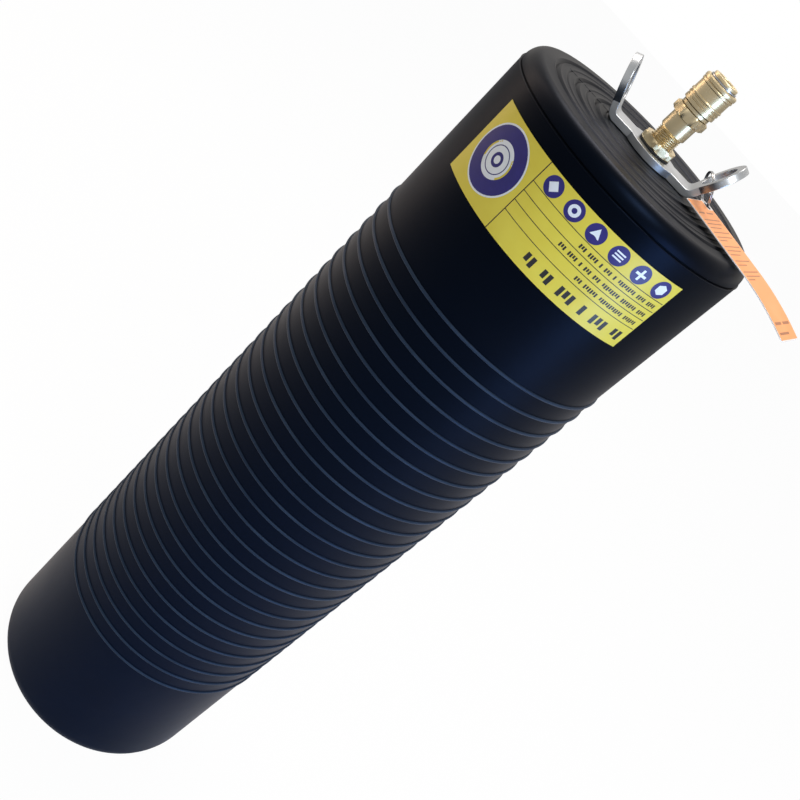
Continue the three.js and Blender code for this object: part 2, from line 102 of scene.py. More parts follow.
world = bpy.data.worlds.new("studio")
bpy.context.scene.world = world
world.use_nodes = True
tree = world.node_tree
tree.nodes.clear()
path = add(tree, "ShaderNodeLightPath")
dim = add(tree, "ShaderNodeBackground", {"Color": srgb("#c8ccd4"), "Strength": 0.3})
bright = add(tree, "ShaderNodeBackground", {"Color": srgb("#fbf6f0"), "Strength": 0.75})
white = add(tree, "ShaderNodeBackground", {"Color": (1, 1, 1, 1), "Strength": 1})
lit = add(tree, "ShaderNodeMixShader", None, {
    0: path.outputs["Is Glossy Ray"], 1: dim.outputs[0], 2: bright.outputs[0]})
mixed = add(tree, "ShaderNodeMixShader", None, {
    0: path.outputs["Is Camera Ray"], 1: lit.outputs[0], 2: white.outputs[0]})
add(tree, "ShaderNodeOutputWorld", None, {"Surface": mixed.outputs[0]})

for name, place, target, width, height, power, colour in (
    ("key_box", (0.7, -1.3, 2.1), (0, 0, 0.6), 0.6, 0.6, 20, "#ffffff"),
    ("left_box", (-1.6, 0.5, 0.9), (0, 0, 0.4), 0.4, 1.6, 8, "#ffe0c4"),
    ("right_box", (1.5, -0.9, 0.35), (0, 0, 0.25), 0.5, 1.2, 22, "#a9cdff"),
    ("top_box", (-0.2, 0.7, 1.9), (0, 0, 0.65), 1.2, 0.6, 20, "#fff4ea"),
):
    lamp_data = bpy.data.lights.new(name, "AREA")
    lamp_data.shape = "RECTANGLE"
    lamp_data.size = width
    lamp_data.size_y = height
    lamp_data.energy = power
    lamp_data.color = srgb(colour)[:3]
    lamp = bpy.data.objects.new(name, lamp_data)
    lamp.location = place
    lamp.rotation_euler = (Vector(target) - Vector(place)).to_track_quat("-Z", "Y").to_euler()
    bpy.context.collection.objects.link(lamp)


# The bladder. One moulded and vulcanised rubber shell, thick-walled and hollow, with thin ribs
# round its side that grip the pipe, and a rounded bead and ring lines on its head. The nipple
# passes through a hole in the head, clamped between the flange inside and the nut outside.
BODY_RADIUS = 95
BODY_LENGTH = 650
FAR_SHOULDER = 20
RIB_COUNT = 27
RIB_PITCH = 15
RIB_HEIGHT = 1.15
RIB_WIDTH = 2.3
TOP_RIB = 522
BEAD_BASE = 639
BEAD_WIDTH = 9
WRAP_STEP = 0.6
HEAD_WALL = 18
BODY_WALL = 12
STEM_HOLE = 8.6
HEAD_GROOVES = (76, 60.3, 43.7)
FINE_RINGS = (68, 52, 35, 28)
# A ring line across its width, as shares of its half width and depth, with a soft lip at each side
GROOVE_OUTLINE = (
    (1, 0), (0.7, -0.25), (0.4, 0.1), (0.2, 0.6), (0, 1), (-0.2, 0.6), (-0.4, 0.1), (-0.7, -0.25), (-1, 0),
)


def revolve(profile, segments=96, loop=False):
    """Vertices and faces of a solid turned about +Z from radius and height points, in mm."""
    points = list(profile) + ([profile[0]] if loop else [])
    vertices, rows = [], []
    for index, (radius, height) in enumerate(points):
        if loop and index == len(points) - 1:
            rows.append(rows[0])
        elif radius < 1e-6:
            rows.append([len(vertices)] * segments)
            vertices.append((0, 0, height))
        else:
            rows.append(list(range(len(vertices), len(vertices) + segments)))
            for step in range(segments):
                angle = 2 * math.pi * step / segments
                vertices.append((radius * math.cos(angle), radius * math.sin(angle), height))
    faces = []
    for low, high in zip(rows, rows[1:]):
        for step in range(segments):
            after = (step + 1) % segments
            corners = [low[step], low[after], high[after], high[step]]
            face = [c for i, c in enumerate(corners) if c not in corners[:i]]
            if len(face) > 2:
                faces.append(face)
    return vertices, faces


def arc(centre, size, start, end, steps=8):
    """Radius and height points on an ellipse from one angle to another, in degrees."""
    points = []
    for step in range(steps + 1):
        angle = math.radians(start + (end - start) * step / steps)
        points.append((centre[0] + size[0] * math.cos(angle), centre[1] + size[1] * math.sin(angle)))
    return points


def build(name, parts, materials, sharp=35):
    """One object in metres from (vertices, faces, material index) parts in mm, with smooth faces."""
    vertices, faces, indexes = [], [], []
    for points, polygons, index in parts:
        start = len(vertices)
        vertices += [(x * MM, y * MM, z * MM) for x, y, z in points]
        faces += [[corner + start for corner in polygon] for polygon in polygons]
        indexes += [index] * len(polygons)
    mesh = bpy.data.meshes.new(name)
    mesh.from_pydata(vertices, [], faces)
    for material in materials:
        mesh.materials.append(material)
    mesh.polygons.foreach_set("material_index", indexes)
    mesh.shade_smooth()
    mesh.set_sharp_from_angle(angle=math.radians(sharp))
    mesh.update()
    piece = bpy.data.objects.new(name, mesh)
    bpy.context.collection.objects.link(piece)
    return piece


def new_material(name):
    """An empty node material with its Principled shader and output."""
    material = bpy.data.materials.new(name)
    material.use_nodes = True
    return material, material.node_tree, material.node_tree.nodes["Principled BSDF"]


# Vulcanised rubber: near black, with a low soft gloss and a fine moulded grain. Its colour turns navy towards
# the foot, which is a painted blue sheen.
rubber, tree, shader = new_material("vulcanised_rubber")
place = add(tree, "ShaderNodeTexCoord").outputs["Object"]
height = add(tree, "ShaderNodeSeparateXYZ", None, {0: place}).outputs["Z"]
# Painted sheen: the colour blends from near black at the head to navy at the foot, painting in the blue sheen
# of the body's lower part.
toward_foot = add(tree, "ShaderNodeMapRange", {"From Min": 0.62, "From Max": 0.0}, {"Value": height})
cloud = add(tree, "ShaderNodeTexNoise", {"Scale": 9, "Detail": 4}, {"Vector": place})
painted_navy_sheen = add(tree, "ShaderNodeMix", {"data_type": "RGBA", 6: srgb("#030406"), 7: srgb("#030e22")},
            {0: toward_foot.outputs[0]})
worn = add(tree, "ShaderNodeMix", {"data_type": "RGBA", 7: srgb("#080a10")},
           {0: add(tree, "ShaderNodeMapRange", {"From Min": 0.5, "From Max": 0.8, "To Max": 0.5},
                   {"Value": cloud.outputs["Fac"]}).outputs[0], 6: painted_navy_sheen.outputs[2]})
grain = add(tree, "ShaderNodeTexNoise", {"Scale": 900, "Detail": 3}, {"Vector": place})
waves = add(tree, "ShaderNodeTexNoise", {"Scale": 28, "Detail": 2}, {"Vector": place})
gloss = add(tree, "ShaderNodeMapRange", {"To Min": 0.3, "To Max": 0.46}, {"Value": cloud.outputs["Fac"]})
fine_bump = add(tree, "ShaderNodeBump", {"Strength": 0.12, "Distance": 0.0002},
                {"Height": grain.outputs["Fac"]})
broad_bump = add(tree, "ShaderNodeBump", {"Strength": 0.25, "Distance": 0.0006},
                 {"Height": waves.outputs["Fac"], "Normal": fine_bump.outputs[0]})
tree.links.new(worn.outputs[2], shader.inputs["Base Color"])
tree.links.new(gloss.outputs[0], shader.inputs["Roughness"])
tree.links.new(broad_bump.outputs[0], shader.inputs["Normal"])
shader.inputs["IOR"].default_value = 1.52
shader.inputs["Specular IOR Level"].default_value = 0.09
shader.inputs["Specular Tint"].default_value = srgb("#8fb8ff")

# The outer wrap ends in a narrow open seam just under the bead.
head_profile = [
    (BODY_RADIUS, BEAD_BASE - 1), (BODY_RADIUS + 0.25, BEAD_BASE - 0.7), (BODY_RADIUS + 0.1, BEAD_BASE - 0.4),
    (BODY_RADIUS - 1.3, BEAD_BASE - 0.3), (BODY_RADIUS - 1.3, BEAD_BASE + 0.1),
]
bead_centre = (BODY_RADIUS - BEAD_WIDTH, BEAD_BASE)
bead_size = (BEAD_WIDTH - WRAP_STEP, BODY_LENGTH - BEAD_BASE)
head_profile += arc(bead_centre, bead_size, 3, 90, 14)
marks = [(radius, 1.3, 3.4) for radius in HEAD_GROOVES] + [(radius, 0.45, 1.8) for radius in FINE_RINGS]
for radius, depth, half in sorted(marks, reverse=True):
    for share, fall in GROOVE_OUTLINE:
        head_profile.append((radius + half * share, BODY_LENGTH - depth * fall))
side = [(BODY_RADIUS, FAR_SHOULDER + (BEAD_BASE - 2 - FAR_SHOULDER) * step / 30) for step in range(1, 31)]
shell = (
    [(0, 0), (40, 0)]
    + arc((BODY_RADIUS - FAR_SHOULDER, FAR_SHOULDER), (FAR_SHOULDER, FAR_SHOULDER), -90, 0, 12)
    + side + head_profile
    + [(STEM_HOLE, BODY_LENGTH), (STEM_HOLE, BODY_LENGTH - HEAD_WALL)]
    + arc((BODY_RADIUS - BODY_WALL - 10, BODY_LENGTH - HEAD_WALL - 10), (10, 10), 90, 0, 4)
    + arc((BODY_RADIUS - BODY_WALL - 10, 28), (10, 10), 0, -90, 4)
    + [(0, HEAD_WALL)]
)
bladder = build("bladder_skin", [(*revolve(shell, 180), 0)], [rubber])

ribs = bpy.data.node_groups.new("grip_ribs", "GeometryNodeTree")
ribs.interface.new_socket("Geometry", in_out="OUTPUT", socket_type="NodeSocketGeometry")
ribs.interface.new_socket("Geometry", in_out="INPUT", socket_type="NodeSocketGeometry")
rib_sockets = {}

# Rib rubber: the same rubber, with the ribs painted paler blue grey as a painted highlight for the catch
# light along each rib, and a little duller.
rib_painted_highlight, tree, shader = new_material("rib_rubber_painted_highlight")
place = add(tree, "ShaderNodeTexCoord").outputs["Object"]
highlight_patches = add(tree, "ShaderNodeTexNoise", {"Scale": 30, "Detail": 4}, {"Vector": place})
# Painted highlight: the pale blue grey of the ribs stands in for the light they catch, varied in patches.
tone = add(tree, "ShaderNodeMix", {"data_type": "RGBA", 6: srgb("#141d2b"), 7: srgb("#33404f")},
           {0: highlight_patches.outputs["Fac"]})
tree.links.new(tone.outputs[2], shader.inputs["Base Color"])
shader.inputs["Roughness"].default_value = 0.4
shader.inputs["Specular IOR Level"].default_value = 0.2
shader.inputs["Specular Tint"].default_value = srgb("#8fb8ff")

for name, kind, value in (
    ("Rib Count", "NodeSocketInt", RIB_COUNT),
    ("Top Rib", "NodeSocketVector", (0, 0, TOP_RIB * MM)),
    ("Rib Step", "NodeSocketVector", (0, 0, -RIB_PITCH * MM)),
    ("Rib Circle", "NodeSocketFloat", (BODY_RADIUS + RIB_HEIGHT - RIB_WIDTH / 2) * MM),
    ("Rib Radius", "NodeSocketFloat", RIB_WIDTH / 2 * MM),
    ("Material", "NodeSocketMaterial", rib_painted_highlight),
):
    rib_sockets[name] = (ribs.interface.new_socket(name, in_out="INPUT", socket_type=kind).identifier, value)
given = add(ribs, "NodeGroupInput")
heights = add(ribs, "GeometryNodeMeshLine", {"mode": "OFFSET"}, {
    "Count": given.outputs["Rib Count"], "Start Location": given.outputs["Top Rib"],
    "Offset": given.outputs["Rib Step"]})
hoop = add(ribs, "GeometryNodeCurvePrimitiveCircle", {"Resolution": 180},
           {"Radius": given.outputs["Rib Circle"]})
section = add(ribs, "GeometryNodeCurvePrimitiveCircle", {"Resolution": 10},
              {"Radius": given.outputs["Rib Radius"]})
rib = add(ribs, "GeometryNodeCurveToMesh", None,
          {"Curve": hoop.outputs[0], "Profile Curve": section.outputs[0]})
copies = add(ribs, "GeometryNodeInstanceOnPoints", None,
             {"Points": heights.outputs[0], "Instance": rib.outputs[0]})
real = add(ribs, "GeometryNodeRealizeInstances", None, {0: copies.outputs[0]})
coated = add(ribs, "GeometryNodeSetMaterial", None,
             {"Geometry": real.outputs[0], "Material": given.outputs["Material"]})
add(ribs, "NodeGroupOutput", None, {0: coated.outputs[0]})


def apply_tree(piece, group, values):
    """Runs a node group on a piece and keeps the result as a plain mesh."""
    modifier = piece.modifiers.new(group.name, "NODES")
    modifier.node_group = group
    for identifier, value in values.values():
        modifier[identifier] = value
    evaluated = piece.evaluated_get(bpy.context.evaluated_depsgraph_get())
    result = bpy.data.meshes.new_from_object(evaluated)
    piece.modifiers.remove(modifier)
    piece.data = result
    mesh = bmesh.new()
    mesh.from_mesh(result)
    bmesh.ops.recalc_face_normals(mesh, faces=mesh.faces)
    mesh.to_mesh(result)
    mesh.free()
    result.shade_smooth()
    result.set_sharp_from_angle(angle=math.radians(40))


grip_ribs = build("grip_ribs", [], [])
apply_tree(grip_ribs, ribs, rib_sockets)
for piece in (bladder, grip_ribs):
    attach(piece, "body")
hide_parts("bladder")

# The mould lines on the head. Thin raised flash that the mould's joints leave in the rubber,
# part of the same moulding as the bladder.
MOULD_LINES = ((176, 22, 71, 0.35), (-112, 24, 68, 0.25))


def bar(start, end, width, height, base):
    """A low ridge with a sloped top between two points on the head, in mm."""
    along = (Vector(end) - Vector(start)).normalized()
    across = Vector((-along.y, along.x)) * width / 2
    foot = [Vector(start) - across, Vector(end) - across, Vector(end) + across, Vector(start) + across]
    top = [Vector(start) - across * 0.4 + along, Vector(end) - across * 0.4 - along,
           Vector(end) + across * 0.4 - along, Vector(start) + across * 0.4 + along]
    points = [(p.x, p.y, base) for p in foot] + [(p.x, p.y, base + height) for p in top]
    polygons = [(3, 2, 1, 0), (4, 5, 6, 7)] + [(i, (i + 1) % 4, (i + 1) % 4 + 4, i + 4) for i in range(4)]
    return points, polygons


lines = []
for angle, inner, outer, height in MOULD_LINES:
    direction = Vector((math.cos(math.radians(angle)), math.sin(math.radians(angle))))
    lines.append((*bar(direction * inner, direction * outer, 1.2, height, BODY_LENGTH - 0.2), 0))
mould_lines = build("mould_lines", lines, [rubber])
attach(mould_lines, "body")

# The label. A printed plastic film stuck round the bladder under its head, yellow with navy print:
# a round mark and a pale band at its left, six round signs, and rows of plain bars for the words.
LABEL_START = -140.7
LABEL_END = -44.8
LABEL_LOW = 576
LABEL_HIGH = 627.5
LABEL_RADIUS = 95.7
FILM = 0.35
PRINT_RISE = 0.03
DIVIDER = -109.6
MARK_CENTRE = (-124.8, 603.3)
MARK_RADIUS = 21.4
SIGN_ANGLES = (-103.0, -92.7, -82.5, -72.0, -61.6, -51.3)
SIGN_HEIGHT = 620.2
SIGN_RADIUS = 6.1
RULES = (613.4, 606.2, 599.0, 591.4)
DEGREE = math.pi * LABEL_RADIUS / 180  # mm round the label for each degree


def wrap(points, rise=0.0):
    """Places points given as mm round the body from angle 0, and height, on the label's face."""
    radius = LABEL_RADIUS + rise
    return [(radius * math.cos(x / LABEL_RADIUS), radius * math.sin(x / LABEL_RADIUS), z) for x, z in points]


def panel(left, right, low, high, rise):
    """A rectangle on the label, in columns narrow enough to follow the body's curve."""
    columns = max(1, math.ceil((right - left) / 4))
    flat = [(left + (right - left) * i / columns, z) for i in range(columns + 1) for z in (low, high)]
    polygons = [(2 * i, 2 * i + 2, 2 * i + 3, 2 * i + 1) for i in range(columns)]
    return wrap(flat, rise), polygons


def disc(x, z, inner, outer, rise, steps=48, corners=None, turn=90):
    """A ring, disc or regular polygon on the label."""
    steps = corners or steps
    radii = [inner + (outer - inner) * i / 3 for i in range(4)]
    angles = [math.radians(turn + 360 * s / steps) for s in range(steps)]
    flat = [(x + r * math.cos(angle), z + r * math.sin(angle)) for r in radii for angle in angles]
    polygons = []
    for low in range(0, 3 * steps, steps):
        for s in range(steps):
            after = (s + 1) % steps
            polygons.append((low + s, low + steps + s, low + steps + after, low + after))
    return wrap(flat, rise), polygons


# Gloss label film: yellow vinyl with a slight gloss and faint waves where it was laid down.
film, tree, shader = new_material("yellow_label_film")
place = add(tree, "ShaderNodeTexCoord").outputs["Object"]
dust = add(tree, "ShaderNodeTexNoise", {"Scale": 60, "Detail": 4}, {"Vector": place})
tint = add(tree, "ShaderNodeMix", {"data_type": "RGBA", 6: srgb("#d9c63c"), 7: srgb("#e6d650")},
           {0: dust.outputs["Fac"]})
ripple = add(tree, "ShaderNodeBump", {"Strength": 0.15, "Distance": 0.0003}, {"Height": dust.outputs["Fac"]})
tree.links.new(tint.outputs[2], shader.inputs["Base Color"])
tree.links.new(ripple.outputs[0], shader.inputs["Normal"])
shader.inputs["Roughness"].default_value = 0.42


def ink(name, code, other):
    """A print ink: even and slightly glossy, with a faint change of density."""
    material, tree, shader = new_material(name)
    place = add(tree, "ShaderNodeTexCoord").outputs["Object"]
    density = add(tree, "ShaderNodeTexNoise", {"Scale": 240, "Detail": 3}, {"Vector": place})
    colour = add(tree, "ShaderNodeMix", {"data_type": "RGBA", 6: srgb(code), 7: srgb(other)},
                 {0: density.outputs["Fac"]})
    tree.links.new(colour.outputs[2], shader.inputs["Base Color"])
    shader.inputs["Roughness"].default_value = 0.4
    return material


navy_ink = ink("navy_print_ink", "#1d1763", "#2a2478")
white_ink = ink("white_print_ink", "#dfe6ea", "#eef2f4")
black_ink = ink("black_print_ink", "#131318", "#1d1d22")

left, right = LABEL_START * DEGREE, LABEL_END * DEGREE
outer_face = panel(left, right, LABEL_LOW, LABEL_HIGH, 0)
inner_face = panel(left, right, LABEL_LOW, LABEL_HIGH, -FILM)
count = len(outer_face[0])
film_points = outer_face[0] + inner_face[0]
film_faces = list(outer_face[1]) + [tuple(count + c for c in reversed(p)) for p in inner_face[1]]
for first in range(0, count - 2, 2):
    low, after = first, first + 2
    film_faces.append((low, low + count, after + count, after))
    film_faces.append((low + 1, after + 1, after + 1 + count, low + 1 + count))
film_faces.append((0, 1, 1 + count, count))
film_faces.append((count - 2, 2 * count - 2, 2 * count - 1, count - 1))
label = build("label_film", [(film_points, film_faces, 0)], [film])
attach(label, "body")
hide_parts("label")

NAVY, WHITE, BLACK = 0, 1, 2
prints = []
mark_x = MARK_CENTRE[0] * DEGREE
for inner, outer, index, lift in (
    (0, MARK_RADIUS, WHITE, 1), (11.5, MARK_RADIUS - 1.1, NAVY, 2), (0, 10.3, WHITE, 2), (8.1, 8.7, NAVY, 3),
    (0, 4.4, NAVY, 3), (0, 2.4, WHITE, 4),
):
    prints.append((*disc(mark_x, MARK_CENTRE[1], inner, outer, PRINT_RISE * lift), index))
divider_x = DIVIDER * DEGREE
prints.append((*panel(divider_x, divider_x + 0.6, LABEL_LOW, LABEL_HIGH, PRINT_RISE), BLACK))
for z in RULES:
    prints.append((*panel(divider_x, right - 0.8, z, z + 0.45, PRINT_RISE), BLACK))

# The six round signs carry plain shapes only, built from discs, polygons and bars.
for number, angle in enumerate(SIGN_ANGLES):
    x = angle * DEGREE
    prints.append((*disc(x, SIGN_HEIGHT, 0, SIGN_RADIUS, PRINT_RISE), NAVY))
    lift = 2 * PRINT_RISE
    if number == 0:
        prints.append((*disc(x, SIGN_HEIGHT, 0, 3.8, lift, corners=4, turn=0), WHITE))
    elif number == 1:
        prints.append((*disc(x, SIGN_HEIGHT, 1.6, 3.6, lift), WHITE))
    elif number == 2:
        prints.append((*disc(x, SIGN_HEIGHT, 0, 3.8, lift, corners=3), WHITE))
    elif number == 3:
        for middle in (SIGN_HEIGHT - 1.9, SIGN_HEIGHT, SIGN_HEIGHT + 1.9):
            prints.append((*panel(x - 3.2, x + 3.2, middle - 0.5, middle + 0.5, lift), WHITE))
    elif number == 4:
        prints.append((*panel(x - 0.8, x + 0.8, SIGN_HEIGHT - 3.6, SIGN_HEIGHT + 3.6, lift), WHITE))
        prints.append((*panel(x - 3.6, x + 3.6, SIGN_HEIGHT - 0.8, SIGN_HEIGHT + 0.8, lift), WHITE))
    else:
        prints.append((*disc(x, SIGN_HEIGHT, 0, 3.7, lift, corners=6), WHITE))

# The words' places are rows of plain bars of unequal length, with gaps like those between words.
for base, size, start, words in (
    (LABEL_LOW + 4.2, 6.6, right - 4, (2, 3, 1, 3, 2, 2)),
    (RULES[3] + 2.4, 2.7, right - 4, (6, 11, 6, 3)),
    (RULES[2] + 2.1, 2.7, right - 4, (4, 7, 8, 3, 3, 1, 4, 3)),
    (RULES[1] + 2.1, 2.7, right - 4, (4, 4, 8, 1, 3, 1, 4, 3)),
):
    stroke, gap, space = size * 0.42, size * 0.2, size * 0.75
    x = start
    for word in words:
        for number in range(word):
            low = base + (size * 0.22 if number % 3 == 1 else 0)
            prints.append((*panel(x - stroke, x, low, base + size, PRINT_RISE), BLACK))
            x -= stroke + gap
        x -= space
label_print = build("label_print", prints, [navy_ink, white_ink, black_ink])
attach(label_print, "body")

# The flange and the nipple. The steel flange lies inside the head, and the brass nipple screws
# into it. The nipple is turned from bar, with a cut thread, a collar and a milled hexagon.
HEAD = BODY_LENGTH
THREAD_RADIUS = 8.3
THREAD_ROOT = 7.45
THREAD_PITCH = 1.337
THREAD_LOW = HEAD - 25.3
COLLAR_LOW = HEAD + 19
HEX_LOW = HEAD + 29.7
HEX_HIGH = HEAD + 35.6
SPIGOT_TOP = HEAD + 43.2

# Turned brass: champagne yellow, bright, with the fine rings that a lathe tool leaves.
brass, tree, shader = new_material("turned_brass")
place = add(tree, "ShaderNodeTexCoord").outputs["Object"]
rings = add(tree, "ShaderNodeMapping", {"Scale": (60, 60, 2600)}, {"Vector": place})
tooling = add(tree, "ShaderNodeTexNoise", {"Scale": 1, "Detail": 2}, {"Vector": rings.outputs[0]})
stain = add(tree, "ShaderNodeTexNoise", {"Scale": 90, "Detail": 2}, {"Vector": place})
tone = add(tree, "ShaderNodeMix", {"data_type": "RGBA", 6: srgb("#c6b48c"), 7: srgb("#dccfae")},
           {0: stain.outputs["Fac"]})
gloss = add(tree, "ShaderNodeMapRange", {"To Min": 0.3, "To Max": 0.4}, {"Value": stain.outputs["Fac"]})
cut = add(tree, "ShaderNodeBump", {"Strength": 0.05, "Distance": 0.00002}, {"Height": tooling.outputs["Fac"]})
tree.links.new(tone.outputs[2], shader.inputs["Base Color"])
tree.links.new(gloss.outputs[0], shader.inputs["Roughness"])
tree.links.new(cut.outputs[0], shader.inputs["Normal"])
shader.inputs["Metallic"].default_value = 1

# Bright steel: drawn or ground, cool grey, with faint scratches.
steel, tree, shader = new_material("bright_steel")
place = add(tree, "ShaderNodeTexCoord").outputs["Object"]
scratches = add(tree, "ShaderNodeTexNoise", {"Scale": 500, "Detail": 4}, {"Vector": place})
tone = add(tree, "ShaderNodeMix", {"data_type": "RGBA", 6: srgb("#a9adb2"), 7: srgb("#c9cdd2")},
           {0: scratches.outputs["Fac"]})
gloss = add(tree, "ShaderNodeMapRange", {"To Min": 0.2, "To Max": 0.36}, {"Value": scratches.outputs["Fac"]})
tree.links.new(tone.outputs[2], shader.inputs["Base Color"])
tree.links.new(gloss.outputs[0], shader.inputs["Roughness"])
shader.inputs["Metallic"].default_value = 1


def paint(node, material):
    """Gives a CAD node that keeps its own shape its material."""
    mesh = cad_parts[node].data
    mesh.materials.clear()
    mesh.materials.append(material)


def hexagon(across_flats, low, high, turn, chamfer=1.0, bore=None, both=False):
    """A hexagon whose corners are turned off at a slope, by default at its top only."""
    steps = 96
    half = across_flats / 2
    corner = across_flats / math.sqrt(3)
    rows = [(low, chamfer if both else 0), (low + chamfer, 0), (high - chamfer, 0), (high, chamfer)]
    vertices, faces = [], []
    for height, drop in rows:
        for step in range(steps):
            angle = 2 * math.pi * step / steps
            from_flat = (angle - math.radians(turn) - math.pi / 6) % (math.pi / 3)
            if from_flat > math.pi / 6:
                from_flat -= math.pi / 3
            radius = min(half / math.cos(from_flat), corner - drop * 1.55)
            vertices.append((radius * math.cos(angle), radius * math.sin(angle), height))
    if bore:
        for height in (high, low):
            for step in range(steps):
                angle = 2 * math.pi * step / steps
                vertices.append((bore * math.cos(angle), bore * math.sin(angle), height))
    rings_of = [list(range(i * steps, (i + 1) * steps)) for i in range(len(vertices) // steps)]
    if bore:
        rings_of.append(rings_of[0])
    else:
        faces.append(tuple(reversed(rings_of[0])))
        faces.append(tuple(rings_of[-1]))
    for lower, upper in zip(rings_of, rings_of[1:]):
        for step in range(steps):
            after = (step + 1) % steps
            faces.append((lower[step], lower[after], upper[after], upper[step]))
    return vertices, faces


def thread(low, high, crest, root, pitch, steps=72):
    """A screw thread's surface as one grid, open at its ends, which its neighbours close."""
    rows = round((high - low) / pitch * 12)
    vertices, faces = [], []
    for row in range(rows + 1):
        height = low + (high - low) * row / rows
        for step in range(steps):
            phase = (height / pitch - step / steps) % 1
            slope = min(1, abs(2 * phase - 1) * 1.5)
            fade = min(1, (high - height) / pitch, (height - low) / pitch)
            radius = crest - (crest - root) * slope * max(0, fade)
            angle = 2 * math.pi * step / steps
            vertices.append((radius * math.cos(angle), radius * math.sin(angle), height))
    for low_row in range(0, rows * steps, steps):
        high_row = low_row + steps
        for step in range(steps):
            after = (step + 1) % steps
            faces.append((low_row + step, low_row + after, high_row + after, high_row + step))
    faces.append(tuple(reversed(range(steps))))
    faces.append(tuple(rows * steps + step for step in range(steps)))
    return vertices, faces


collar = revolve([
    (0, COLLAR_LOW), (8.5, COLLAR_LOW), (9.1, COLLAR_LOW + 0.6), (9.1, HEX_LOW - 0.5),
    (8.9, HEX_LOW - 0.2), (8.9, HEX_LOW + 0.4), (0, HEX_LOW + 0.4),
], 72)
spigot = revolve([
    (0, HEX_HIGH - 0.5), (7, HEX_HIGH - 0.5), (7, SPIGOT_TOP), (5.5, SPIGOT_TOP), (5.5, HEAD + 33.3),
    (0, HEAD + 33.3),
], 48)
nipple = build("nipple_brass", [
    (*thread(THREAD_LOW, COLLAR_LOW + 0.2, THREAD_RADIUS, THREAD_ROOT, THREAD_PITCH), 0),
    (*collar, 0), (*hexagon(21, HEX_LOW, HEX_HIGH, 3, chamfer=0.9, both=True), 0), (*spigot, 0),
], [brass], sharp=28)
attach(nipple, "body")
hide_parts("nipple")
paint("inner_flange", steel)

# The eye bracket. One strip of zinc-plated steel plate, cut with a disc in its middle and a
# round eye at each end, then bent up at both ends. The locknut clamps it against the head.
PLATE = 4.5
BEND_INSIDE = 3.5
LUG_ANGLE = math.radians(68)
EYE_SPREAD = 38.2
EYE_RISE = 16.9
EYE_RADIUS = 16.2
EYE_HOLE = 10.6
DISC_RADIUS = 20.2
STRIP_HALF = 11
BRACKET_TURN = math.radians(2.5)
PLATE_BASE = HEAD + 0.3
EDGE_ROUND = 0.3
lug_reach = (EYE_RISE - BEND_INSIDE * (1 - math.cos(LUG_ANGLE))) / math.sin(LUG_ANGLE)
bend_start = EYE_SPREAD - BEND_INSIDE * math.sin(LUG_ANGLE) - lug_reach * math.cos(LUG_ANGLE)
bend_middle = BEND_INSIDE + PLATE / 2
bend_length = bend_middle * LUG_ANGLE
eye_flat = bend_start + bend_length + lug_reach


def outline_arc(centre, radius, start, end, steps):
    """Points of a plate's outline on an arc, in radians."""
    return [(centre + radius * math.cos(start + (end - start) * i / steps),
             radius * math.sin(start + (end - start) * i / steps)) for i in range(steps + 1)]


def plate_solid(name, outlines, thickness, rounding):
    """A flat plate with round holes from closed outlines in mm, its edges rounded, centred on z 0."""
    curve = bpy.data.curves.new(name, "CURVE")
    curve.dimensions = "2D"
    curve.fill_mode = "BOTH"
    curve.extrude = thickness / 2 - rounding
    curve.bevel_depth = rounding
    curve.bevel_resolution = 1
    curve.offset = -rounding
    for outline in outlines:
        spline = curve.splines.new("POLY")
        spline.points.add(len(outline) - 1)
        for point, (x, y) in zip(spline.points, outline):
            point.co = (x, y, 0, 1)
        spline.use_cyclic_u = True
    holder = bpy.data.objects.new(name, curve)
    bpy.context.collection.objects.link(holder)
    mesh = bpy.data.meshes.new_from_object(holder.evaluated_get(bpy.context.evaluated_depsgraph_get()))
    bpy.data.objects.remove(holder)
    return mesh


def bend_plate(mesh, cuts, move):
    """Cuts a plate's mesh across x where it bends, then moves each point by a rule, in mm."""
    work = bmesh.new()
    work.from_mesh(mesh)
    bmesh.ops.remove_doubles(work, verts=work.verts, dist=1e-4)
    for x in cuts:
        everything = work.verts[:] + work.edges[:] + work.faces[:]
        bmesh.ops.bisect_plane(work, geom=everything, plane_co=(x, 0, 0), plane_no=(1, 0, 0), dist=1e-4)
    for vertex in work.verts:
        vertex.co = Vector(move(*vertex.co)) * MM
    bmesh.ops.triangulate(work, faces=[face for face in work.faces if len(face.verts) > 4])
    bmesh.ops.recalc_face_normals(work, faces=work.faces)
    work.to_mesh(mesh)
    work.free()
    mesh.shade_smooth()
    mesh.set_sharp_from_angle(angle=math.radians(20))


disc_meet = math.asin(STRIP_HALF / DISC_RADIUS)
eye_meet = math.asin(STRIP_HALF / EYE_RADIUS)
quarter = outline_arc(eye_flat, EYE_RADIUS, -math.pi + eye_meet, math.pi - eye_meet, 56)
top_arc = outline_arc(0, DISC_RADIUS, disc_meet, math.pi - disc_meet, 28)
other_side = [(-x, -y) for x, y in quarter]
outlines = [quarter + top_arc + other_side + [(-x, -y) for x, y in top_arc]]
for centre, radius in ((eye_flat, EYE_HOLE), (-eye_flat, EYE_HOLE), (0, STEM_HOLE)):
    outlines.append(outline_arc(centre, radius, 0, -2 * math.pi, 56)[:-1])


def bend_lug(x, y, z):
    """Bends the flat pattern's two ends up, keeping the middle of the plate's thickness true."""
    side = 1 if x >= 0 else -1
    past = abs(x) - bend_start
    lift = PLATE_BASE + PLATE / 2
    if past <= 0:
        out, up = abs(x), lift + z
    else:
        turn = min(past, bend_length) / bend_middle
        rest = max(0, past - bend_length)
        arm = bend_middle - z
        out = bend_start + arm * math.sin(turn) + rest * math.cos(turn)
        up = lift + bend_middle - arm * math.cos(turn) + rest * math.sin(turn)
    out *= side
    return (out * math.cos(BRACKET_TURN) - y * math.sin(BRACKET_TURN),
            out * math.sin(BRACKET_TURN) + y * math.cos(BRACKET_TURN), up)


